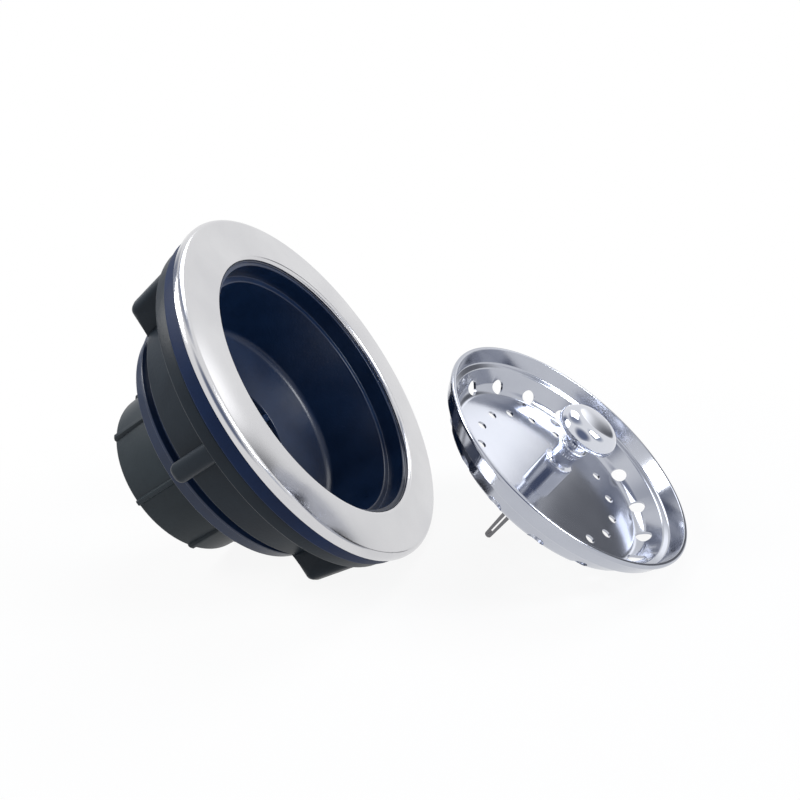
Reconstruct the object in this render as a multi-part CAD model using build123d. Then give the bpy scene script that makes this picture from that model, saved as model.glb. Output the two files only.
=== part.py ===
from build123d import *
import os
from math import asin, atan2, cos, degrees, hypot, sin, tan

# A kitchen sink drain with its strainer basket lifted out. Sizes are in millimetres and degrees.
# The drain is made along its own axis, flange face at zero and outlet below, and the basket along
# its axis with the top of its rim at zero. Both are then laid on the floor as they come to rest.

# Pressed steel flange ring
flange_radius = 57.0
steel_thickness = 0.7
outer_roll = 1.7
rim_drop = 2.6
face_width = 14.3
mouth_roll = 1.5
lip_drop = 1.9
sheet_gap = 0.15

# Moulded drain body
body_flange_thickness = 2.1
shank_step = 0.3
shank_length = 31.8
shank_lead = 1.6
cup_wall = 1.4
cup_rounding = 0.5
ledge_depth = 8.0
ledge_width = 2.0
cup_draw = 4.1
floor_edge_depth = 28.5
floor_rounding = 3.0
throat_radius = 17.5
throat_depth = 33.0
underside_drop = 2.4
spigot_wall = 5.9
spigot_length = 17.0
spigot_collar = 1.2
spider_height = 4.5
spider_arm_width = 2.6
spider_arm_count = 4
hub_radius = 4.8
hub_bore = 2.7

# Rubber sink gasket
gasket_inset = 0.9
gasket_thickness = 4.4
gasket_rounding = 0.7
thread_gap = 0.3
turn_gap = 0.03

# Lock nut with hand lugs
nut_inset = 1.8
nut_flange_thickness = 4.0
nut_wall_top = 3.1
nut_wall_low = 1.6
nut_wall_height = 15.2
nut_rounding = 0.6
lug_count = 6
lug_width = 5.6
lug_inset = 2.2
lug_drop = 14.2
lug_end_drop = 16.3
lug_rounding = 2.4
lug_side_rounding = 2.0
lug_turn = -1.5

# Coupling nut and its flat washer
coupling_clear = 0.4
coupling_wall = 4.7
coupling_draft = 0.5
coupling_chamfer = 0.8
coupling_lip = 2.6
rib_count = 8
rib_height = 0.6
rib_width = 1.4
rib_foot_width = 3.4
tailpiece_gap = 2.1
washer_thickness = 2.4
washer_gap = 0.77

# Strainer basket bowl
basket_gap = 0.6
bowl_sheet = 0.7
bead_height = 1.4
bead_width = 1.2
bead_rounding = 0.5
band_height = 5.4
band_gap = 0.4
band_rounding = 0.7
step_width = 1.8
step_fall = 0.5
wall_draw = 3.4
bowl_depth = 12.4
bowl_rounding = 4.5
large_hole_count = 16
large_hole_radius = 2.35
large_hole_slope = 48.0
small_hole_count = 16
small_hole_radius = 1.45
small_hole_inset = 10.3
hole_turn = 15.0

# Knob, stopper seal and spring post
stem_radius = 3.6
collar_radius = 4.7
collar_height = 5.6
neck_bead = 0.7
neck_bead_height = 1.5
knob_flare = 3.2
knob_head_radius = 9.1
knob_dome = 5.2
knob_height = 22.3
rivet_radius = 2.6
rivet_gap = 0.1
seal_radius = 14.5
seal_thickness = 2.6
retainer_radius = 6.0
retainer_thickness = 1.2
post_length = 25.8
post_width = 2.8
post_depth = 3.8
post_tip = 2.2
post_slot = 0.5

# Where the basket lies, from the floor under the middle of the flange
basket_ahead = 71.5
basket_aside = 1.8
basket_heading = -13.9

# Radii and heights along the drain's axis
mouth_radius = flange_radius - face_width
shank_radius = mouth_radius + shank_step
thread_bore = shank_radius + thread_gap
cup_radius = shank_radius - cup_wall
ledge_radius = cup_radius - ledge_width
floor_edge_radius = ledge_radius - cup_draw
nut_flange_radius = flange_radius - nut_inset
nut_wall_top_radius = thread_bore + nut_wall_top
nut_wall_low_radius = thread_bore + nut_wall_low
lug_reach = nut_flange_radius - lug_inset
spigot_radius = throat_radius + spigot_wall
tailpiece_bore = throat_radius + tailpiece_gap
coupling_bore = spigot_radius + thread_gap
coupling_radius = coupling_bore + coupling_wall
rib_radius = coupling_radius + rib_height
flange_under = -(steel_thickness + body_flange_thickness)
shank_end = flange_under - shank_length
spigot_top = shank_end - underside_drop
spigot_end = spigot_top - spigot_length
gasket_under = flange_under - gasket_thickness
nut_top = gasket_under - turn_gap
nut_flange_under = nut_top - nut_flange_thickness
nut_end = nut_flange_under - nut_wall_height
coupling_top = spigot_top - coupling_clear
washer_seat = spigot_end - washer_gap - washer_thickness
lip_top = washer_seat - turn_gap
coupling_end = lip_top - coupling_lip
coupling_height = coupling_top - coupling_end

# Radii and heights along the basket's axis
rim_radius = cup_radius - basket_gap
bead_overhang = bead_width - bowl_sheet
band_top_radius = rim_radius - bead_overhang
band_low_radius = ledge_radius - band_gap
wall_top_radius = band_low_radius - step_width
wall_top = -(band_height + step_fall)
floor_radius = wall_top_radius - wall_draw
bowl_floor = -bowl_depth + bowl_sheet
wall_slope = atan2(wall_top + bowl_depth, wall_draw)
corner_middle = (floor_radius - bowl_rounding * tan(wall_slope / 2), bowl_rounding - bowl_depth)
seal_under = -bowl_depth - seal_thickness
retainer_under = seal_under - retainer_thickness
post_end = retainer_under - post_length


def turned(outline, rounds=(), closing_radius=0):
    """A solid turned about Z from (radius, height) points, with the named corners rounded.

    The outline closes with a straight line, or with a quarter round where a closing radius is given.
    """
    lines = [Polyline(*outline, close=not closing_radius)]
    if closing_radius:
        lines.append(RadiusArc(outline[-1], outline[0], closing_radius))
    section = make_face(lines)
    for corner, radius in rounds:
        section = fillet(section.vertices().sort_by_distance((*corner, 0))[0], radius)
    return revolve(Plane.XZ * section, Axis.Z)


def ring(inner, outer, top, bottom):
    """A plain ring between two radii and two heights."""
    return turned([(inner, top), (outer, top), (outer, bottom), (inner, bottom)])


def flange_ring():
    """The visible steel ring: a flat face with its rim turned down outside and its lip turned in."""
    outside = flange_radius - steel_thickness
    inside = mouth_radius + steel_thickness
    outline = [
        (mouth_radius, -lip_drop),
        (mouth_radius, 0),
        (flange_radius, 0),
        (flange_radius, -rim_drop),
        (outside, -rim_drop),
        (outside, -steel_thickness),
        (inside, -steel_thickness),
        (inside, -lip_drop),
    ]
    rounds = [
        ((mouth_radius, 0), mouth_roll),
        ((flange_radius, 0), outer_roll),
        ((outside, -steel_thickness), outer_roll - steel_thickness),
        ((inside, -steel_thickness), mouth_roll - steel_thickness),
    ]
    return turned(outline, rounds)


def drain_body():
    """One moulding: flange, threaded shank, stepped cup, outlet spigot and the cross in its throat."""
    seat_inner = mouth_radius + steel_thickness + sheet_gap
    seat_outer = flange_radius - steel_thickness - outer_roll
    outline = [
        (seat_inner, -mouth_roll),
        (seat_inner + mouth_roll, -steel_thickness),
        (seat_outer, -steel_thickness),
        (flange_radius - steel_thickness - sheet_gap, -outer_roll),
        (flange_radius - steel_thickness - sheet_gap, flange_under),
        (shank_radius, flange_under),
        (shank_radius, shank_end + shank_lead),
        (shank_radius - shank_lead, shank_end),
        (spigot_radius + spigot_collar, spigot_top),
        (spigot_radius, spigot_top),
        (spigot_radius, spigot_end),
        (throat_radius, spigot_end),
        (throat_radius, -throat_depth),
        (floor_edge_radius, -floor_edge_depth),
        (ledge_radius, -ledge_depth),
        (cup_radius, -ledge_depth),
        (cup_radius, -lip_drop - sheet_gap),
        (seat_inner, -lip_drop - sheet_gap),
    ]
    rounds = [
        ((floor_edge_radius, -floor_edge_depth), floor_rounding),
        ((ledge_radius, -ledge_depth), cup_rounding),
        ((throat_radius, -throat_depth), cup_rounding),
    ]
    return turned(outline, rounds) + spider()


def spider():
    """The cross in the throat, with the socket that takes the basket's spring post."""
    middle = -throat_depth - spider_height / 2
    arm = Pos(throat_radius / 2, 0, 0) * Box(throat_radius + spider_arm_width, spider_arm_width, spider_height)
    cross = Cylinder(hub_radius, spider_height)
    for step in range(spider_arm_count):
        cross += Rot(0, 0, step * 360 / spider_arm_count) * arm
    return Pos(0, 0, middle) * (cross - Cylinder(hub_bore, spider_height))


def sink_gasket():
    """The thick rubber ring that seals under the sink."""
    outer = flange_radius - gasket_inset
    outline = [
        (thread_bore, flange_under),
        (outer, flange_under),
        (outer, gasket_under),
        (thread_bore, gasket_under),
    ]
    rounds = [((outer, flange_under), gasket_rounding), ((outer, gasket_under), gasket_rounding)]
    return turned(outline, rounds)


def lug():
    """One hand lug: a fin that leaves the nut's flange and leans in to the foot of its wall."""
    root = thread_bore + nut_wall_low / 2
    tip = (lug_reach, nut_flange_under - lug_drop)
    foot = (nut_wall_low_radius, nut_flange_under - lug_end_drop)
    outline = [
        (root, nut_flange_under),
        (nut_flange_radius, nut_flange_under),
        tip,
        foot,
        (root, nut_flange_under - lug_end_drop),
    ]
    face = make_face(Polyline(*outline, close=True))
    face = fillet(face.vertices().sort_by_distance((*tip, 0))[0], lug_rounding)
    fin = extrude(Plane.XZ * face, lug_width / 2, both=True)
    outer_edges = [edge for edge in fin.edges() if is_lug_edge(edge)]
    return fillet(outer_edges, lug_side_rounding)


def is_lug_edge(edge):
    """True for the long edges down the two sides of a lug's outer face and end."""
    middle = edge.center()
    on_side = abs(abs(middle.Y) - lug_width / 2) < lug_side_rounding / 2
    return on_side and middle.X > nut_wall_top_radius and middle.Z < nut_flange_under - lug_rounding / 2


def lock_nut():
    """The nut that draws the drain up against the sink, turned by hand on its six lugs."""
    outline = [
        (thread_bore, nut_top),
        (nut_flange_radius, nut_top),
        (nut_flange_radius, nut_flange_under),
        (nut_wall_top_radius, nut_flange_under),
        (nut_wall_low_radius, nut_end),
        (thread_bore, nut_end),
    ]
    rounds = [
        ((nut_flange_radius, nut_top), nut_rounding),
        ((nut_flange_radius, nut_flange_under), nut_rounding),
        ((nut_wall_low_radius, nut_end), nut_rounding),
    ]
    nut = turned(outline, rounds)
    one_lug = lug()
    spacing = 360 / lug_count
    for step in range(lug_count):
        nut += Rot(0, 0, lug_turn + (step + 0.5) * spacing) * one_lug
    return nut


def coupling_nut():
    """The nut that clamps the waste pipe to the outlet, gripped by eight shallow ribs."""
    foot_radius = coupling_radius - coupling_draft
    outline = [
        (coupling_bore, coupling_top),
        (coupling_radius, coupling_top),
        (foot_radius, coupling_end),
        (tailpiece_bore, coupling_end),
        (tailpiece_bore, lip_top),
        (coupling_bore, lip_top),
    ]
    nut = turned(outline, [((foot_radius, coupling_end), coupling_chamfer)])
    rib_root = coupling_bore + (foot_radius - coupling_bore) / 2
    top = [
        (rib_root, -rib_foot_width / 2),
        (rib_radius, -rib_width / 2),
        (rib_radius, rib_width / 2),
        (rib_root, rib_foot_width / 2),
    ]
    rib = extrude(make_face(Polyline(*top, close=True)), coupling_height)
    low_edge = rib.faces().sort_by(Axis.X)[-1].edges().sort_by(Axis.Z)[0]
    rib = chamfer(low_edge, coupling_chamfer)
    for step in range(rib_count):
        nut += Rot(0, 0, step * 360 / rib_count) * Pos(0, 0, coupling_end) * rib
    return nut


def coupling_washer():
    """The flat washer that the coupling nut's lip carries, squeezed on the end of the spigot."""
    return ring(tailpiece_bore, spigot_radius, washer_seat + washer_thickness, washer_seat)


def basket_bowl():
    """The pressed strainer bowl: rolled rim, upright band, narrow step, steep wall and a flat floor."""
    outline = [
        (band_top_radius, -bead_height),
        (band_low_radius, -band_height),
        (wall_top_radius, wall_top),
        (floor_radius, -bowl_depth),
        (rivet_radius + rivet_gap, -bowl_depth),
        (rivet_radius + rivet_gap, bowl_floor),
        (floor_radius - bowl_sheet * tan(wall_slope / 2), bowl_floor),
        (wall_top_radius - bowl_sheet, wall_top + bowl_sheet),
        (band_low_radius - bowl_sheet, bowl_sheet - band_height),
        (rim_radius - bead_width, 0),
        (rim_radius, 0),
        (rim_radius, bead_overhang - bead_height),
    ]
    rounds = [
        ((rim_radius, 0), bead_rounding),
        ((rim_radius - bead_width, 0), bead_rounding / 2),
        ((band_low_radius, -band_height), band_rounding),
        ((band_low_radius - bowl_sheet, bowl_sheet - band_height), band_rounding),
        ((wall_top_radius - bowl_sheet, wall_top + bowl_sheet), band_rounding),
        ((floor_radius, -bowl_depth), bowl_rounding),
        ((floor_radius - bowl_sheet * tan(wall_slope / 2), bowl_floor), bowl_rounding - bowl_sheet),
    ]
    bowl = turned(outline, rounds, bead_overhang)
    large = Pos(corner_middle[0], 0, corner_middle[1]) * Rot(0, -large_hole_slope, 0)
    large *= Pos(0, 0, -bowl_rounding) * Cylinder(large_hole_radius, bowl_rounding)
    small = Pos(floor_radius - small_hole_inset, 0, -bowl_depth) * Cylinder(small_hole_radius, bowl_rounding)
    bowl -= around(large, large_hole_count)
    return bowl - around(small, small_hole_count)


def around(punch, count):
    """Punches for one row of strainer holes."""
    return [Rot(0, 0, hole_turn + step * 360 / count) * punch for step in range(count)]


def knob():
    """The turned pull knob: collar, stem, neck bead and a flared domed head, riveted through the bowl."""
    collar_top = bowl_floor + collar_height
    head_top = bowl_floor + knob_height
    head_edge = head_top - knob_dome
    head_base = head_edge - knob_flare
    bead_base = head_base - 2 * neck_bead_height
    outline = [
        (0, retainer_under),
        (rivet_radius, retainer_under),
        (rivet_radius, bowl_floor),
        (collar_radius, bowl_floor),
        (collar_radius, collar_top),
        (stem_radius, collar_top + neck_bead),
        (stem_radius, bead_base),
        (stem_radius + neck_bead, bead_base),
        (stem_radius + neck_bead, bead_base + neck_bead_height),
        (stem_radius, bead_base + neck_bead_height),
        (stem_radius, head_base),
        (knob_head_radius, head_edge),
        (knob_head_radius, head_top),
        (0, head_top),
    ]
    rounds = [
        ((knob_head_radius, head_edge), neck_bead),
        ((knob_head_radius, head_top), knob_dome - neck_bead),
        ((collar_radius, collar_top), neck_bead),
    ]
    return turned(outline, rounds)


def spring_post():
    """The split spring post under the basket that snaps into the socket of the cross."""
    reach = post_length - post_tip / 2
    top, tip = post_depth / 2, post_tip / 2
    outside = make_face(Polyline((-top, 0), (top, 0), (tip, -reach), (-tip, -reach), close=True))
    outside += Pos(0, -reach) * Circle(tip)
    slot = Pos(0, -reach / 2) * Rectangle(post_slot, reach)
    return Pos(0, 0, retainer_under) * extrude(Plane.XZ * (outside - slot), post_width / 2, both=True)


def lie(upper, lower):
    """The tilt, and the height of zero, of a piece resting on two rounded edges (radius, height, round)."""
    (upper_radius, upper_height, upper_round), (lower_radius, lower_height, lower_round) = upper, lower
    inward = upper_radius - lower_radius
    along = upper_height - lower_height
    tilt = atan2(inward, along) + asin((upper_round - lower_round) / hypot(inward, along))
    return tilt, upper_radius * cos(tilt) - upper_height * sin(tilt) + upper_round


def drain_lie():
    """The drain on its side: the lock nut's flange and one rib of the coupling nut touch the floor."""
    flange_edge = (nut_flange_radius - nut_rounding, nut_flange_under + nut_rounding, nut_rounding)
    rib_corner = (rib_radius, coupling_end + coupling_chamfer, 0)
    tilt, height = lie(flange_edge, rib_corner)
    return Pos(0, 0, height) * Rot(0, 90 - degrees(tilt), 0)


def basket_lie():
    """The basket on its side: the round foot of its wall and the tip of its post touch the floor."""
    bowl_foot = (*corner_middle, bowl_rounding)
    tip = post_tip / 2
    tilt, height = lie(bowl_foot, (0, post_end + tip, tip))
    return Pos(basket_ahead, basket_aside, height) * Rot(0, 0, basket_heading) * Rot(0, 90 - degrees(tilt), 0)


drain_pieces = {
    "flange_ring": flange_ring(),
    "drain_body": drain_body(),
    "sink_gasket": sink_gasket(),
    "lock_nut": lock_nut(),
    "coupling_washer": coupling_washer(),
    "coupling_nut": coupling_nut(),
}
basket_pieces = {
    "basket_bowl": basket_bowl(),
    "basket_knob": knob(),
    "stopper_seal": ring(rivet_radius + rivet_gap, seal_radius, -bowl_depth, seal_under),
    "seal_retainer": ring(rivet_radius + rivet_gap, retainer_radius, seal_under, retainer_under),
    "spring_post": spring_post(),
}

# The origin is on the floor under the middle of the two pieces
laid = {name: drain_lie() * piece for name, piece in drain_pieces.items()}
laid.update({name: basket_lie() * piece for name, piece in basket_pieces.items()})
extent = Compound(children=[Compound(piece.wrapped) for piece in laid.values()]).bounding_box()
middle = extent.center()
to_origin = Pos(-middle.X, -middle.Y, -extent.min.Z)

os.makedirs("parts", exist_ok=True)
for name, piece in laid.items():
    export_step(to_origin * piece, f"parts/{name}.step")
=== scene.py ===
from math import atan2, hypot, pi, radians, tan

import bmesh
import bpy
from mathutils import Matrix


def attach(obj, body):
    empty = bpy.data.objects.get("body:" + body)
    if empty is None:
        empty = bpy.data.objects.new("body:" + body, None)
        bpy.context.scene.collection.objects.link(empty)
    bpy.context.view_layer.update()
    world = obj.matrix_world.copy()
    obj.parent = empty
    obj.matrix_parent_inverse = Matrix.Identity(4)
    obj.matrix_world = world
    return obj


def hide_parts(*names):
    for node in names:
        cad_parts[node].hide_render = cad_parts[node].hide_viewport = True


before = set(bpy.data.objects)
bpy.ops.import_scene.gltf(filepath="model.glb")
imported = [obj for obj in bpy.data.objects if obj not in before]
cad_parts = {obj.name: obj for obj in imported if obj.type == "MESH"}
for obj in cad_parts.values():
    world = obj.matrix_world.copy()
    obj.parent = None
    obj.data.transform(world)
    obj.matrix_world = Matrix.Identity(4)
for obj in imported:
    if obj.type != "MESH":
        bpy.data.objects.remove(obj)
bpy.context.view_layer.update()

# Flange ring
# The ring that shows in the sink, pressed from thin stainless sheet and polished: a flat face,
# its rim rolled down over the moulding and its inner lip rolled into the mouth of the cup.
MM = 0.001
SAME_PLACE = 2e-6
DRAIN_PLACE = (-18.1754 * MM, 0, 53.6503 * MM)
DRAIN_TURN = (0, radians(90 - 28.5184), 0)
FLANGE_RADIUS, MOUTH_RADIUS = 57.0, 42.7
FLANGE_SHEET = 0.7
RIM_FOOT, LIP_FOOT = -2.6, -1.9
RIM_ROLL, LIP_ROLL = 1.7, 1.45
CUT_EDGE = 0.2


def draw_section(name, corners, closed=True):
    """Draws a section line by extruding one point from corner to corner, and rounds its corners.

    A corner is its radius and its height in millimetres, and its rounding where it has one.
    """
    bpy.ops.object.select_all(action="DESELECT")
    bpy.ops.mesh.primitive_plane_add(size=MM)
    piece = bpy.context.object
    piece.name = name
    piece.data.name = name
    bpy.ops.object.mode_set(mode="EDIT")
    bpy.ops.mesh.select_mode(type="VERT")
    bpy.ops.mesh.merge(type="CENTER")
    bpy.ops.transform.translate(value=(corners[0][0] * MM, 0, corners[0][1] * MM))
    here = corners[0]
    for corner in corners[1:]:
        step = ((corner[0] - here[0]) * MM, 0, (corner[1] - here[1]) * MM)
        bpy.ops.mesh.extrude_region_move(TRANSFORM_OT_translate={"value": step})
        here = corner
    if closed:
        select_points(piece, [corners[0], corners[-1]])
        bpy.ops.mesh.edge_face_add()
    for index, corner in enumerate(corners):
        if len(corner) > 2:
            before, after = corners[index - 1], corners[(index + 1) % len(corners)]
            select_points(piece, [corner])
            reach = corner[2] / tan_half(before, corner, after) * MM
            bpy.ops.mesh.bevel(offset_type="OFFSET", offset=reach, segments=8, affect="VERTICES")
    return piece


def tan_half(before, corner, after):
    """The tangent of half the angle between the two lines that meet at a corner."""
    one = atan2(before[1] - corner[1], before[0] - corner[0])
    two = atan2(after[1] - corner[1], after[0] - corner[0])
    half = abs((one - two + pi) % (2 * pi) - pi) / 2
    return tan(half)


def select_points(piece, points):
    """Selects the section's points that lie at the given corners."""
    bpy.ops.mesh.select_mode(type="VERT")
    bpy.ops.mesh.select_all(action="DESELECT")
    mesh = bmesh.from_edit_mesh(piece.data)
    for vert in mesh.verts:
        for point in points:
            aside, above = vert.co.x - point[0] * MM, vert.co.z - point[1] * MM
            if abs(aside) < SAME_PLACE and abs(above) < SAME_PLACE:
                vert.select_set(True)
    mesh.select_flush_mode()
    bmesh.update_edit_mesh(piece.data)


def turn_section(steps):
    """Spins the section that is being edited once round the upright axis into a closed skin."""
    bpy.ops.mesh.select_all(action="SELECT")
    bpy.ops.mesh.spin(steps=steps, angle=2 * pi, center=(0, 0, 0), axis=(0, 0, 1))
    close_skin()


def close_skin():
    """Joins the seam of a mesh in edit mode, faces it outwards and leaves edit mode."""
    bpy.ops.mesh.select_all(action="SELECT")
    bpy.ops.mesh.remove_doubles(threshold=SAME_PLACE)
    bpy.ops.mesh.normals_make_consistent(inside=False)
    bpy.ops.object.mode_set(mode="OBJECT")


def pick(piece):
    """Selects one piece alone and makes it the active one."""
    bpy.ops.object.select_all(action="DESELECT")
    piece.select_set(True)
    bpy.context.view_layer.objects.active = piece


def lay(piece, place, turn):
    """Smooths a piece that was made upright and lays it where it rests."""
    pick(piece)
    bpy.ops.object.shade_smooth_by_angle(angle=radians(28))
    piece.rotation_euler = turn
    piece.location = place
    bpy.ops.object.transform_apply(location=True, rotation=True, scale=True)


def new_finish(name):
    """A material with its shader and the piece's own coordinates; returns the pieces to wire up."""
    finish = bpy.data.materials.new(name)
    finish.use_nodes = True
    nodes, links = finish.node_tree.nodes, finish.node_tree.links
    return finish, nodes, links, nodes["Principled BSDF"], nodes.new("ShaderNodeTexCoord")


def noise(nodes, links, place, scale, detail, roughness=0.5):
    """Noise over the piece's own coordinates."""
    pattern = nodes.new("ShaderNodeTexNoise")
    pattern.inputs["Scale"].default_value = scale
    pattern.inputs["Detail"].default_value = detail
    pattern.inputs["Roughness"].default_value = roughness
    links.new(place.outputs["Object"], pattern.inputs["Vector"])
    return pattern.outputs["Fac"]


def clouded_finish(name, pale, deep, smooth, dull, pale_from, cloud, grain, strength, height):
    """A finish whose tone and gloss drift in soft clouds over a fine grain; returns its shader too."""
    finish, nodes, links, shader, place = new_finish(name)
    drift = noise(nodes, links, place, **cloud)
    tone = nodes.new("ShaderNodeValToRGB")
    tone.color_ramp.elements[0].position = 0.3
    tone.color_ramp.elements[0].color = (*deep, 1)
    tone.color_ramp.elements[1].position = pale_from
    tone.color_ramp.elements[1].color = (*pale, 1)
    links.new(drift, tone.inputs["Fac"])
    links.new(tone.outputs["Color"], shader.inputs["Base Color"])
    gloss = nodes.new("ShaderNodeMapRange")
    gloss.inputs["To Min"].default_value = smooth
    gloss.inputs["To Max"].default_value = dull
    links.new(drift, gloss.inputs["Value"])
    links.new(gloss.outputs["Result"], shader.inputs["Roughness"])
    relief = nodes.new("ShaderNodeBump")
    relief.inputs["Strength"].default_value = strength
    relief.inputs["Distance"].default_value = height * MM
    links.new(noise(nodes, links, place, **grain), relief.inputs["Height"])
    links.new(relief.outputs["Normal"], shader.inputs["Normal"])
    return finish, shader


def polished_steel(name, pale, deep, smooth, dull):
    """Polished sheet: a faint cloudiness in tone and in gloss, and hair-fine polishing marks."""
    finish, shader = clouded_finish(
        name, pale, deep, smooth, dull, pale_from=0.7, cloud={"scale": 55, "detail": 4},
        grain={"scale": 900, "detail": 2}, strength=0.012, height=0.2)
    shader.inputs["Metallic"].default_value = 1.0
    return finish


def fit(piece, body, node, finish):
    """Gives a piece its finish and body, and lets it stand for the solid of that node."""
    piece.data.materials.clear()
    piece.data.materials.append(finish)
    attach(piece, body)
    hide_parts(node)


rim_inside = FLANGE_RADIUS - FLANGE_SHEET
lip_inside = MOUTH_RADIUS + FLANGE_SHEET
flange = draw_section("flange_face", [
    (MOUTH_RADIUS, LIP_FOOT), (MOUTH_RADIUS, 0, LIP_ROLL),
    (FLANGE_RADIUS, 0, RIM_ROLL), (FLANGE_RADIUS, RIM_FOOT, CUT_EDGE),
    (rim_inside, RIM_FOOT, CUT_EDGE), (rim_inside, -FLANGE_SHEET, RIM_ROLL - FLANGE_SHEET),
    (lip_inside, -FLANGE_SHEET, LIP_ROLL - FLANGE_SHEET), (lip_inside, LIP_FOOT),
])
turn_section(steps=256)
lay(flange, DRAIN_PLACE, DRAIN_TURN)
fit(flange, "drain", "flange_ring", polished_steel(
    "polished flange steel", pale=(0.67, 0.67, 0.685), deep=(0.61, 0.61, 0.63), smooth=0.12, dull=0.20))

# Drain body
# One moulding in dark navy plastic, clamped under the steel: the threaded shank that passes through
# the sink, the stepped cup with its sloping floor, and the outlet with a cross moulded in its throat.
SEAT_BORE, SEAT_RADIUS = 43.55, 56.15
SEAT_FLAT_START, SEAT_FLAT_END = 45.05, 54.6
SEAT_LIP, SEAT_RECESS = -1.5, -2.05
SEAT_EDGE, SEAT_FOOT = -1.7, -2.8
MOULD_ROUND = 0.3
SHANK, SHANK_ROOT = 43.0, 41.5
COLLAR_END, THREAD_START = -9.0, -9.8
SHOULDER_TOP, SHOULDER_FOOT, SHOULDER_RADIUS = -34.6, -37.0, 24.6
SPIGOT, SPIGOT_ROOT, SPIGOT_END, SPIGOT_ROUND = 23.4, 22.2, -54.0, 0.4
CUP_RADIUS, CUP_ROUND = 41.6, 0.25
LEDGE_RADIUS, LEDGE, LEDGE_ROUND = 39.6, -8.0, 0.5
CUP_FLOOR_RADIUS, CUP_FLOOR, CUP_FLOOR_ROUND = 35.5, -28.5, 3.0
THROAT, THROAT_TOP, THROAT_ROUND = 17.5, -33.0, 0.6
PITCH, STEPS_PER_TURN = 3.2, 120
TOOTH_SINK, TOOTH_FOOT, TOOTH_CREST, TOOTH_ROUND = 0.4, 1.15, 0.35, 0.2
HUB, SOCKET = 4.8, 2.7
ARMS = 4
ARM_LENGTH, ARM_WIDTH, ARM_MIDDLE, ARM_ROUND = 14.0, 2.6, 11.0, 0.4
CROSS_DEPTH = 4.5


def moulded_plastic(name, pale, deep, smooth, dull, grain, sheen):
    """Moulded plastic or rubber: slow changes of tone, a satin gloss that varies, and a fine grain."""
    finish, shader = clouded_finish(
        name, pale, deep, smooth, dull, pale_from=0.72,
        cloud={"scale": 70, "detail": 6, "roughness": 0.6},
        grain={"scale": grain, "detail": 3}, strength=0.12, height=0.3)
    shader.inputs["Specular IOR Level"].default_value = sheen
    return finish


def thread_ridge(name, root, crest, top, bottom):
    """The ridge of a coarse thread, one tooth wound up a cylinder and sunk a little into it."""
    sunk = root - TOOTH_SINK
    tooth = draw_section(name, [
        (sunk, bottom - TOOTH_FOOT), (root, bottom - TOOTH_FOOT),
        (crest, bottom - TOOTH_CREST, TOOTH_ROUND), (crest, bottom + TOOTH_CREST, TOOTH_ROUND),
        (root, bottom + TOOTH_FOOT), (sunk, bottom + TOOTH_FOOT),
    ])
    bpy.ops.object.mode_set(mode="OBJECT")
    turns = (top - bottom) / PITCH
    wind = tooth.modifiers.new("wind", "SCREW")
    wind.axis = "Z"
    wind.angle = 2 * pi * turns
    wind.screw_offset = (top - bottom) * MM
    wind.steps = wind.render_steps = int(STEPS_PER_TURN * turns)
    wind.use_merge_vertices = False
    bpy.ops.object.modifier_apply(modifier="wind")
    bpy.ops.object.mode_set(mode="EDIT")
    bpy.ops.mesh.select_all(action="DESELECT")
    bpy.ops.mesh.select_non_manifold(extend=False)
    bpy.ops.mesh.fill_holes(sides=0)
    close_skin()
    return tooth


def ring_of(piece, count, start=0):
    """Copies of one piece, each with its own mesh, turned evenly about the upright axis."""
    copies = []
    for index in range(count):
        copy = piece.copy()
        copy.data = piece.data.copy()
        bpy.context.collection.objects.link(copy)
        pick(copy)
        copy.rotation_euler = (0, 0, start + index * 2 * pi / count)
        bpy.ops.object.transform_apply(location=True, rotation=True, scale=True)
        copies.append(copy)
    bpy.data.objects.remove(piece)
    return copies


def joined(first, *others):
    """Joins pieces into the first one."""
    pick(first)
    for piece in others:
        piece.select_set(True)
    bpy.ops.object.join()
    return first


moulding = draw_section("moulded_body", [
    (SEAT_BORE, SEAT_LIP), (SEAT_FLAT_START, -FLANGE_SHEET), (SEAT_FLAT_END, -FLANGE_SHEET),
    (SEAT_RADIUS, SEAT_EDGE), (SEAT_RADIUS, SEAT_FOOT, MOULD_ROUND),
    (SHANK, SEAT_FOOT), (SHANK, COLLAR_END), (SHANK_ROOT, THREAD_START),
    (SHANK_ROOT, SHOULDER_TOP, MOULD_ROUND), (SHOULDER_RADIUS, SHOULDER_FOOT),
    (SPIGOT_ROOT, SHOULDER_FOOT), (SPIGOT_ROOT, SPIGOT_END, SPIGOT_ROUND),
    (THROAT, SPIGOT_END, SPIGOT_ROUND), (THROAT, THROAT_TOP, THROAT_ROUND),
    (CUP_FLOOR_RADIUS, CUP_FLOOR, CUP_FLOOR_ROUND), (LEDGE_RADIUS, LEDGE, LEDGE_ROUND),
    (CUP_RADIUS, LEDGE, CUP_ROUND), (CUP_RADIUS, SEAT_RECESS, CUP_ROUND), (SEAT_BORE, SEAT_RECESS),
])
turn_section(steps=192)
shank_thread = thread_ridge("shank_thread", SHANK_ROOT, SHANK, top=-10.2, bottom=-32.6)
spigot_thread = thread_ridge("spigot_thread", SPIGOT_ROOT, SPIGOT, top=-39.4, bottom=-51.8)

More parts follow.
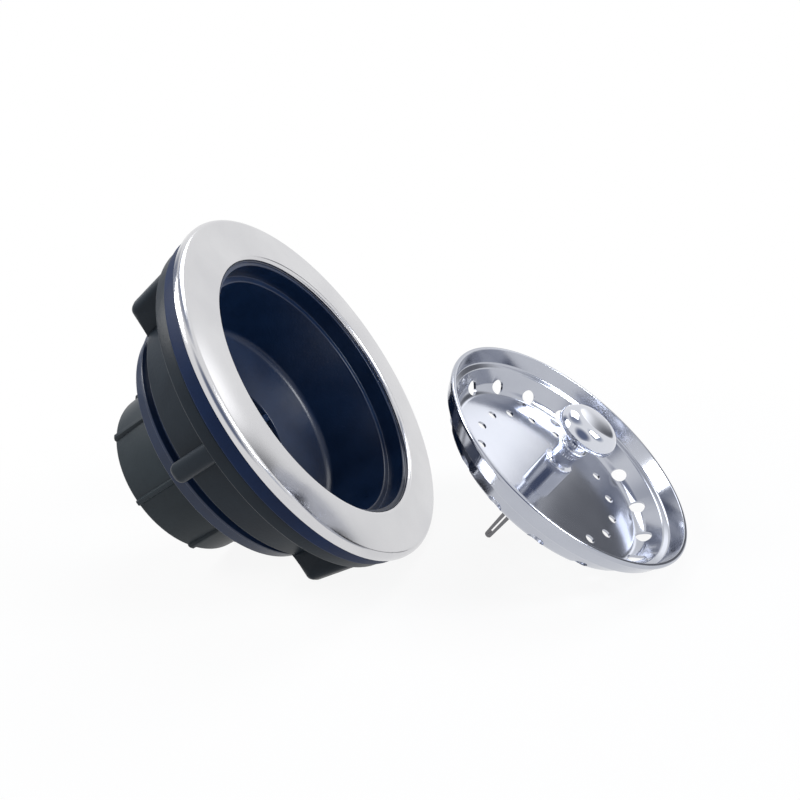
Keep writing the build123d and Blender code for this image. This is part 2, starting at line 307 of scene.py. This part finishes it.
cross_foot = THROAT_TOP - CROSS_DEPTH
hub = draw_section("throat_hub", [
    (SOCKET, THROAT_TOP, MOULD_ROUND), (HUB, THROAT_TOP, MOULD_ROUND),
    (HUB, cross_foot), (SOCKET, cross_foot),
])
turn_section(steps=48)
bpy.ops.object.select_all(action="DESELECT")
bpy.ops.mesh.primitive_cube_add(size=MM)
arm = bpy.context.object
bpy.ops.object.mode_set(mode="EDIT")
bpy.ops.transform.resize(value=(ARM_LENGTH, ARM_WIDTH, CROSS_DEPTH))
bpy.ops.transform.translate(value=(ARM_MIDDLE * MM, 0, (THROAT_TOP + cross_foot) / 2 * MM))
bpy.ops.mesh.bevel(offset=ARM_ROUND * MM, segments=3)
close_skin()
joined(moulding, shank_thread, spigot_thread, hub, *ring_of(arm, ARMS))
lay(moulding, DRAIN_PLACE, DRAIN_TURN)
fit(moulding, "drain", "drain_body", moulded_plastic(
    "navy moulded plastic", pale=(0.008, 0.025, 0.072), deep=(0.004, 0.014, 0.044),
    smooth=0.24, dull=0.36, grain=1400, sheen=0.4))

# Sink gasket
# A thick soft rubber ring squeezed under the flange, dull navy black, its two edges rounded.
SLIDING_BORE = 43.3
GASKET_RADIUS, GASKET_FOOT, GASKET_ROUND = 56.1, -7.2, 0.7

gasket = draw_section("rubber_gasket", [
    (SLIDING_BORE, SEAT_FOOT), (GASKET_RADIUS, SEAT_FOOT, GASKET_ROUND),
    (GASKET_RADIUS, GASKET_FOOT, GASKET_ROUND), (SLIDING_BORE, GASKET_FOOT),
])
turn_section(steps=192)
lay(gasket, DRAIN_PLACE, DRAIN_TURN)
fit(gasket, "gasket", "sink_gasket", moulded_plastic(
    "navy rubber", pale=(0.008, 0.024, 0.078), deep=(0.005, 0.015, 0.052),
    smooth=0.42, dull=0.60, grain=1100, sheen=0.12))

# Lock nut
# A charcoal plastic nut with a wide flange and six lugs round a short wall, spun up the shank by hand
# to clamp the gasket. Each lug is a bar with a half-round face that leans in to the foot of the wall.
TURN_GAP = 0.03
NUT_HEIGHT, NUT_FLANGE_THICKNESS, NUT_RADIUS = 19.2, 4.0, 55.2
NUT_WALL_TOP, NUT_WALL_END = 46.4, 44.9
NUT_ROUND, NUT_ROOT_ROUND, NUT_BORE_ROUND = 0.6, 0.5, 0.3
LUGS = 6
LUG_START = radians(28.5)
LUG_ROOT, LUG_TOP_REACH, LUG_TIP_REACH = 44.1, 54.9, 53.0
LUG_TOP, LUG_TIP_RISE, LUG_OVERHANG = -10.2, 1.0, 1.1
LUG_WIDTH, LUG_TIP_ROUND, LUG_FACE_ROUND = 5.6, 2.4, 2.0


def prism(name, outline, width):
    """A flat fin in edit mode: its outline filled and drawn out to its width."""
    piece = draw_section(name, outline)
    bpy.ops.mesh.select_all(action="SELECT")
    bpy.ops.mesh.edge_face_add()
    bpy.ops.mesh.extrude_region_move(TRANSFORM_OT_translate={"value": (0, width * MM, 0)})
    bpy.ops.mesh.select_all(action="SELECT")
    bpy.ops.transform.translate(value=(0, -width / 2 * MM, 0))
    bpy.ops.mesh.normals_make_consistent(inside=False)
    return piece


nut_top = GASKET_FOOT - TURN_GAP
nut_flange_foot = nut_top - NUT_FLANGE_THICKNESS
nut_foot = nut_top - NUT_HEIGHT
nut = draw_section("lock_nut_wall", [
    (SLIDING_BORE, nut_top), (NUT_RADIUS, nut_top, NUT_ROUND), (NUT_RADIUS, nut_flange_foot, NUT_ROUND),
    (NUT_WALL_TOP, nut_flange_foot, NUT_ROOT_ROUND), (NUT_WALL_END, nut_foot, NUT_ROUND),
    (SLIDING_BORE, nut_foot, NUT_BORE_ROUND),
])
turn_section(steps=192)
lug_foot = nut_foot - LUG_OVERHANG
lug = prism("lug", [
    (LUG_ROOT, LUG_TOP), (LUG_TOP_REACH, LUG_TOP),
    (LUG_TIP_REACH, nut_foot + LUG_TIP_RISE, LUG_TIP_ROUND),
    (NUT_WALL_END, lug_foot), (LUG_ROOT, lug_foot),
], LUG_WIDTH)
bpy.ops.mesh.select_mode(type="EDGE")
bpy.ops.mesh.select_all(action="DESELECT")
lug_mesh = bmesh.from_edit_mesh(lug.data)
for edge in lug_mesh.edges:
    middle = (edge.verts[0].co + edge.verts[1].co) / 2
    on_side = abs(abs(middle.y) - LUG_WIDTH / 2 * MM) < SAME_PLACE
    edge.select_set(on_side and middle.x > NUT_WALL_TOP * MM and middle.z < nut_flange_foot * MM)
bmesh.update_edit_mesh(lug.data)
bpy.ops.mesh.bevel(offset=LUG_FACE_ROUND * MM, segments=5, affect="EDGES")
close_skin()
joined(nut, *ring_of(lug, LUGS, LUG_START))
lay(nut, DRAIN_PLACE, DRAIN_TURN)
fit(nut, "lock_nut", "lock_nut", moulded_plastic(
    "charcoal nut plastic", pale=(0.018, 0.027, 0.037), deep=(0.011, 0.017, 0.025),
    smooth=0.32, dull=0.48, grain=1300, sheen=0.16))

# Coupling washer
# The flat rubber washer that the coupling nut's lip carries and squeezes on the end of the outlet.
WASHER_BORE, WASHER_THICKNESS, WASHER_ROUND = 19.6, 2.4, 0.3
WASHER_GAP = 0.77

washer_top = SPIGOT_END - WASHER_GAP
washer_foot = washer_top - WASHER_THICKNESS
washer = draw_section("outlet_washer", [
    (WASHER_BORE, washer_top, WASHER_ROUND), (SPIGOT, washer_top, WASHER_ROUND),
    (SPIGOT, washer_foot), (WASHER_BORE, washer_foot),
])
turn_section(steps=96)
lay(washer, DRAIN_PLACE, DRAIN_TURN)
fit(washer, "washer", "coupling_washer", moulded_plastic(
    "black washer rubber", pale=(0.030, 0.030, 0.034), deep=(0.019, 0.019, 0.023),
    smooth=0.6, dull=0.75, grain=1200, sheen=0.3))

# Coupling nut
# The grey-charcoal plastic nut that clamps the waste pipe: nearly round, with eight thin raised seams
# for the hand and a rounded foot with a lip that holds its washer.
COUPLING_BORE, COUPLING_BORE_ROUND = 23.7, 0.3
COUPLING_TOP, COUPLING_TOP_RADIUS, COUPLING_TOP_ROUND = -37.4, 28.4, 0.5
COUPLING_END, COUPLING_END_RADIUS, COUPLING_END_ROUND = -59.8, 27.9, 0.8
COUPLING_LIP, COUPLING_LIP_ROUND = 2.6, 0.4
SEAMS = 8
SEAM_ROOT, SEAM_CREST = 25.8, 29.0
SEAM_TOP, SEAM_FOOT = -37.6, -59.75
SEAM_TOP_CUT, SEAM_FOOT_CUT, SEAM_FOOT_SLOPE = 0.3, 0.75, 0.8
SEAM_ROOT_WIDTH, SEAM_CREST_WIDTH, SEAM_ROUND = 3.4, 1.4, 0.3

lip_top = COUPLING_END + COUPLING_LIP
coupling = draw_section("coupling_wall", [
    (COUPLING_BORE, COUPLING_TOP, COUPLING_BORE_ROUND),
    (COUPLING_TOP_RADIUS, COUPLING_TOP, COUPLING_TOP_ROUND),
    (COUPLING_END_RADIUS, COUPLING_END, COUPLING_END_ROUND),
    (WASHER_BORE, COUPLING_END, COUPLING_LIP_ROUND), (WASHER_BORE, lip_top), (COUPLING_BORE, lip_top),
])
turn_section(steps=160)
seam = prism("seam", [
    (SEAM_ROOT, SEAM_TOP), (SEAM_CREST - SEAM_TOP_CUT, SEAM_TOP), (SEAM_CREST, SEAM_TOP - SEAM_TOP_CUT),
    (SEAM_CREST, SEAM_FOOT + SEAM_FOOT_CUT), (SEAM_CREST - SEAM_FOOT_SLOPE, SEAM_FOOT),
    (SEAM_ROOT, SEAM_FOOT),
], SEAM_ROOT_WIDTH)
bpy.ops.mesh.select_mode(type="VERT")
bpy.ops.mesh.select_all(action="DESELECT")
seam_mesh = bmesh.from_edit_mesh(seam.data)
for vert in seam_mesh.verts:
    vert.select_set(vert.co.x > COUPLING_END_RADIUS * MM)
bmesh.update_edit_mesh(seam.data)
bpy.ops.transform.resize(value=(1, SEAM_CREST_WIDTH / SEAM_ROOT_WIDTH, 1), center_override=(0, 0, 0))
bpy.ops.object.mode_set(mode="OBJECT")
soften = seam.modifiers.new("soften", "BEVEL")
soften.width = SEAM_ROUND * MM
soften.segments = 3
bpy.ops.object.modifier_apply(modifier="soften")
joined(coupling, *ring_of(seam, SEAMS))
lay(coupling, DRAIN_PLACE, DRAIN_TURN)
fit(coupling, "coupling_nut", "coupling_nut", moulded_plastic(
    "grey coupling plastic", pale=(0.028, 0.039, 0.047), deep=(0.017, 0.025, 0.031),
    smooth=0.34, dull=0.50, grain=1300, sheen=0.2))

# Basket bowl
# The strainer bowl, drawn from one sheet of stainless steel and polished: a beaded rim, an upright
# band, a narrow step, a steep wall and a flat floor. Large holes ring the corner, small ones the floor.
BASKET_PLACE = (53.3246 * MM, 1.8 * MM, 31.3757 * MM)
BASKET_TURN = (0, radians(90 - 47.7513), radians(-13.9))
BOWL_SHEET = 0.7
BOWL_RIM, BEAD_FOOT, BEAD_ROUND = 41.0, -1.4, 0.5
BEAD_INSIDE, BEAD_INSIDE_ROUND = 39.8, 0.25
BAND_TOP_RADIUS, BAND_RADIUS, BAND_FOOT = 40.5, 39.2, -5.4
STEP_RADIUS, STEP_FOOT, STEP_ROUND = 37.4, -5.9, 0.7
BOWL_FLOOR_RADIUS, BOWL_FLOOR, BOWL_FLOOR_ROUND = 34.0, -12.4, 4.5
FLAT_FLOOR = 31.0
RIVET_HOLE = 2.7
HOLES = 16
HOLE_START = radians(15)
PUNCH_LENGTH = 4.5


def punch_row(radius, circle, height, slope):
    """A ring of punches for one row of holes, each square to the sheet that it goes through."""
    bpy.ops.object.select_all(action="DESELECT")
    bpy.ops.mesh.primitive_cylinder_add(vertices=40, radius=radius * MM, depth=PUNCH_LENGTH * MM)
    punch = bpy.context.object
    bpy.ops.object.mode_set(mode="EDIT")
    bpy.ops.transform.rotate(value=slope, orient_axis="Y", center_override=(0, 0, 0))
    bpy.ops.transform.translate(value=(circle * MM, 0, height * MM))
    close_skin()
    return ring_of(punch, HOLES, HOLE_START)


wall_slope = atan2(STEP_FOOT - BOWL_FLOOR, STEP_RADIUS - BOWL_FLOOR_RADIUS)
bowl_floor_inside = BOWL_FLOOR_RADIUS - BOWL_SHEET * tan(wall_slope / 2)
bowl_floor_top = BOWL_FLOOR + BOWL_SHEET
bowl = draw_section("strainer_bowl", [
    (BEAD_INSIDE, 0, BEAD_INSIDE_ROUND), (BOWL_RIM, 0, BEAD_ROUND), (BOWL_RIM, BEAD_FOOT, BEAD_ROUND),
    (BAND_TOP_RADIUS, BEAD_FOOT), (BAND_RADIUS, BAND_FOOT, STEP_ROUND), (STEP_RADIUS, STEP_FOOT),
    (BOWL_FLOOR_RADIUS, BOWL_FLOOR, BOWL_FLOOR_ROUND), (FLAT_FLOOR, BOWL_FLOOR), (RIVET_HOLE, BOWL_FLOOR),
    (RIVET_HOLE, bowl_floor_top), (FLAT_FLOOR, bowl_floor_top),
    (bowl_floor_inside, bowl_floor_top, BOWL_FLOOR_ROUND - BOWL_SHEET),
    (STEP_RADIUS - BOWL_SHEET, STEP_FOOT + BOWL_SHEET, STEP_ROUND),
    (BAND_RADIUS - BOWL_SHEET, BAND_FOOT + BOWL_SHEET, STEP_ROUND),
])
turn_section(steps=256)
punches = joined(
    *punch_row(radius=2.35, circle=34.62, height=-10.91, slope=radians(48)),
    *punch_row(radius=1.45, circle=23.7, height=BOWL_FLOOR, slope=0))
pick(bowl)
holes = bowl.modifiers.new("holes", "BOOLEAN")
holes.operation = "DIFFERENCE"
holes.solver = "EXACT"
holes.object = punches
bpy.ops.object.modifier_apply(modifier="holes")
bpy.data.objects.remove(punches)
lay(bowl, BASKET_PLACE, BASKET_TURN)
fit(bowl, "drain", "basket_bowl", polished_steel(
    "polished basket steel", pale=(0.50, 0.52, 0.58), deep=(0.44, 0.46, 0.52), smooth=0.10, dull=0.17))

# Pull knob
# A turned and chromed knob riveted through the middle of the bowl: a wide collar, a stem with a bead
# at its neck, and a head that flares out under a shallow dome.
RIVET, RIVET_END = 2.6, -16.2
COLLAR, COLLAR_TOP, COLLAR_ROUND = 4.7, -6.1, 0.7
STEM, STEM_START, NECK = 3.6, -5.4, 2.2
KNOB_BEAD, KNOB_BEAD_FOOT, KNOB_BEAD_TOP, KNOB_BEAD_ROUND = 4.3, -0.8, 0.7, 0.25
HEAD, HEAD_EDGE, HEAD_EDGE_ROUND = 9.1, 5.4, 0.7
HEAD_TOP, HEAD_DOME = 10.6, 4.5

knob = draw_section("pull_knob", [
    (0, RIVET_END), (RIVET, RIVET_END), (RIVET, bowl_floor_top), (COLLAR, bowl_floor_top),
    (COLLAR, COLLAR_TOP, COLLAR_ROUND), (STEM, STEM_START), (STEM, KNOB_BEAD_FOOT),
    (KNOB_BEAD, KNOB_BEAD_FOOT, KNOB_BEAD_ROUND), (KNOB_BEAD, KNOB_BEAD_TOP, KNOB_BEAD_ROUND),
    (STEM, KNOB_BEAD_TOP), (STEM, NECK), (HEAD, HEAD_EDGE, HEAD_EDGE_ROUND),
    (HEAD, HEAD_TOP, HEAD_DOME), (0, HEAD_TOP),
], closed=False)
turn_section(steps=128)
lay(knob, BASKET_PLACE, BASKET_TURN)
fit(knob, "drain", "basket_knob", polished_steel(
    "chromed knob", pale=(0.68, 0.70, 0.76), deep=(0.62, 0.64, 0.70), smooth=0.04, dull=0.09))

# Stopper seal
# The soft rubber disc under the bowl that closes the outlet when the basket is pushed down.
SEAL_RADIUS, SEAL_FOOT = 14.5, -15.0
SEAL_TOP_ROUND, SEAL_FOOT_ROUND = 0.4, 0.7

seal = draw_section("stopper_disc", [
    (RIVET_HOLE, BOWL_FLOOR), (SEAL_RADIUS, BOWL_FLOOR, SEAL_TOP_ROUND),
    (SEAL_RADIUS, SEAL_FOOT, SEAL_FOOT_ROUND), (RIVET_HOLE, SEAL_FOOT),
])
turn_section(steps=96)
lay(seal, BASKET_PLACE, BASKET_TURN)
fit(seal, "drain", "stopper_seal", moulded_plastic(
    "black stopper rubber", pale=(0.032, 0.032, 0.036), deep=(0.020, 0.020, 0.024),
    smooth=0.55, dull=0.7, grain=1200, sheen=0.3))

# Seal retainer
# The small plain steel washer that holds the rubber disc up against the bowl.
RETAINER_RADIUS = 6.0
RETAINER_TOP_ROUND, RETAINER_FOOT_ROUND = 0.2, 0.3

retainer = draw_section("retainer_washer", [
    (RIVET_HOLE, SEAL_FOOT), (RETAINER_RADIUS, SEAL_FOOT, RETAINER_TOP_ROUND),
    (RETAINER_RADIUS, RIVET_END, RETAINER_FOOT_ROUND), (RIVET_HOLE, RIVET_END),
])
turn_section(steps=64)
lay(retainer, BASKET_PLACE, BASKET_TURN)
plain_steel = polished_steel(
    "plain steel", pale=(0.18, 0.18, 0.19), deep=(0.13, 0.13, 0.14), smooth=0.18, dull=0.30)
fit(retainer, "drain", "seal_retainer", plain_steel)

# Spring post
# A strip of spring steel folded into a hairpin and riveted under the bowl. Its rounded end snaps into
# the socket of the cross in the drain's throat.
POST_ROOT, POST_TIP, POST_END, POST_ROUND = 1.9, 1.06, -42.0, 1.0
POST_SLOT, POST_SLOT_END = 0.25, -40.9
POST_WIDTH = 2.8

post = prism("spring_strip", [
    (-POST_ROOT, RIVET_END), (-POST_TIP, POST_END, POST_ROUND),
    (POST_TIP, POST_END, POST_ROUND), (POST_ROOT, RIVET_END),
    (POST_SLOT, RIVET_END), (POST_SLOT, POST_SLOT_END),
    (-POST_SLOT, POST_SLOT_END), (-POST_SLOT, RIVET_END),
], POST_WIDTH)
bpy.ops.object.mode_set(mode="OBJECT")
lay(post, BASKET_PLACE, BASKET_TURN)
fit(post, "drain", "spring_post", plain_steel)

# Floor, light and camera
# A plain white floor with a faint soft shadow, three broad lamps, soft round cards for the polished
# metal to mirror, and the camera low beside the flange, as in the photograph.
SHADOW_REACH, WHITE_FROM = 0.09, 0.26
SHADOW_WHITENESS = 0.92
CARD_CORE, CARD_EDGE = 0.35, 0.98
LAMP_AIM = (0, 0, 0.05)
CAMERA_PLACE = (64.405 * MM, -211.689 * MM, 103.078 * MM)
CAMERA_TURN = (radians(75.6031), radians(5.5019), radians(14.4629))


def background_rays(nodes, links):
    """A socket that is 1 for the rays that see the white background: from the camera, metal and glass."""
    ray = nodes.new("ShaderNodeLightPath")
    seen = ray.outputs["Is Camera Ray"]
    for kind in ("Is Glossy Ray", "Is Transmission Ray"):
        either = nodes.new("ShaderNodeMath")
        either.operation = "MAXIMUM"
        links.new(seen, either.inputs[0])
        links.new(ray.outputs[kind], either.inputs[1])
        seen = either.outputs[0]
    return seen


def facing(place, aim):
    """The turn that faces a lamp or a card from its place to a point."""
    ahead, aside, down = aim[0] - place[0], aim[1] - place[1], place[2] - aim[2]
    return atan2(hypot(ahead, aside), down), 0, atan2(aside, ahead) - pi / 2


def smooth_fade(nodes, links, distance, start, end):
    """A soft step from 0 to 1 over a distance; returns its node."""
    fade = nodes.new("ShaderNodeMapRange")
    fade.interpolation_type = "SMOOTHSTEP"
    fade.inputs["From Min"].default_value = start
    fade.inputs["From Max"].default_value = end
    links.new(distance, fade.inputs["Value"])
    return fade


def mixed(nodes, links, share, first, second):
    """Gives a material a blend of two shaders by a share."""
    mix = nodes.new("ShaderNodeMixShader")
    links.new(share, mix.inputs["Fac"])
    links.new(first.outputs[0], mix.inputs[1])
    links.new(second.outputs[0], mix.inputs[2])
    links.new(mix.outputs[0], nodes["Material Output"].inputs["Surface"])


bpy.ops.object.select_all(action="DESELECT")
bpy.ops.mesh.primitive_plane_add(size=6)
floor = bpy.context.object
floor.name = "floor"
paper, nodes, links, shader, place = new_finish("white paper")
shader.inputs["Base Color"].default_value = (0.78, 0.785, 0.795, 1)
shader.inputs["Roughness"].default_value = 0.9
shader.inputs["Specular IOR Level"].default_value = 0.0
away = nodes.new("ShaderNodeVectorMath")
away.operation = "LENGTH"
links.new(place.outputs["Object"], away.inputs[0])
whiteness = smooth_fade(nodes, links, away.outputs["Value"], SHADOW_REACH, WHITE_FROM)
whiteness.inputs["To Min"].default_value = SHADOW_WHITENESS
share = nodes.new("ShaderNodeMath")
share.operation = "MULTIPLY"
links.new(background_rays(nodes, links), share.inputs[0])
links.new(whiteness.outputs["Result"], share.inputs[1])
glow = nodes.new("ShaderNodeEmission")
glow.inputs["Color"].default_value = (1, 1, 1, 1)
mixed(nodes, links, share.outputs[0], shader, glow)
floor.data.materials.append(paper)

sky = bpy.data.worlds.new("studio")
bpy.context.scene.world = sky
sky.use_nodes = True
nodes, links = sky.node_tree.nodes, sky.node_tree.links
blend = nodes.new("ShaderNodeMix")
blend.data_type = "RGBA"
blend.inputs["A"].default_value = (0.13, 0.14, 0.17, 1)
blend.inputs["B"].default_value = (1, 1, 1, 1)
links.new(background_rays(nodes, links), blend.inputs["Factor"])
links.new(blend.outputs["Result"], nodes["Background"].inputs["Color"])


def lamp(name, place, size, power, colour):
    """A soft square lamp that faces the drain."""
    light = bpy.data.lights.new(name, "AREA")
    light.size = size
    light.energy = power
    light.color = colour
    holder = bpy.data.objects.new(name, light)
    bpy.context.collection.objects.link(holder)
    holder.location = place
    holder.rotation_euler = facing(place, LAMP_AIM)


lamp("key", (-0.65, -0.15, 0.65), size=0.4, power=6, colour=(1.0, 0.99, 0.97))
lamp("fill", (0.75, -0.12, 0.48), size=0.3, power=5, colour=(0.95, 0.97, 1.0))
lamp("top", (0.1, 0.35, 0.9), size=0.5, power=3, colour=(0.97, 0.98, 1.0))


def soft_card(name, centre, reach, tone):
    """A glowing round card out of the picture, fading to its edge, seen only in the polished metal's
    reflections.
    """
    bpy.ops.object.select_all(action="DESELECT")
    bpy.ops.mesh.primitive_circle_add(vertices=64, radius=reach, fill_type="NGON")
    card = bpy.context.object
    card.name = name
    card.rotation_euler = facing(centre, (0, 0, 0))
    card.location = centre
    bpy.ops.object.transform_apply(location=True, rotation=True, scale=True)
    card.visible_camera = False
    card.visible_diffuse = False
    card.visible_shadow = False
    mirrored_glow, nodes, links, _, place = new_finish(name + " felt")
    out = nodes.new("ShaderNodeVectorMath")
    out.operation = "DISTANCE"
    out.inputs[1].default_value = centre
    links.new(place.outputs["Object"], out.inputs[0])
    fade = smooth_fade(nodes, links, out.outputs["Value"], CARD_CORE * reach, CARD_EDGE * reach)
    glow = nodes.new("ShaderNodeEmission")
    glow.inputs["Color"].default_value = (*tone, 1)
    clear = nodes.new("ShaderNodeBsdfTransparent")
    mixed(nodes, links, fade.outputs["Result"], glow, clear)
    card.data.materials.append(mirrored_glow)


# Glowing cards, dark and bright: they light nothing and show only as reflections in the polished metal.
soft_card("back_right_card", (0.57, 0.63, 0.21), reach=0.22, tone=(0.16, 0.165, 0.18))
soft_card("bright_card", (0.482, 0.702, 0.397), reach=0.15, tone=(1.8, 1.8, 1.8))
soft_card("front_card", (0.15, -0.85, 0.45), reach=0.75, tone=(0.15, 0.18, 0.27))
soft_card("left_card", (-0.95, 0.10, 0.60), reach=0.75, tone=(0.18, 0.21, 0.29))
soft_card("right_card", (0.98, -0.20, 0.50), reach=0.55, tone=(0.32, 0.36, 0.45))
soft_card("top_card", (0.0, 0.10, 1.15), reach=0.75, tone=(0.30, 0.33, 0.42))

lens = bpy.data.cameras.new("camera")
lens.sensor_width = 36
lens.lens = 34.688
lens.clip_start = 0.01
camera = bpy.data.objects.new("camera", lens)
bpy.context.collection.objects.link(camera)
camera.location = CAMERA_PLACE
camera.rotation_euler = CAMERA_TURN
bpy.context.scene.camera = camera
bpy.context.scene.view_settings.view_transform = "Standard"
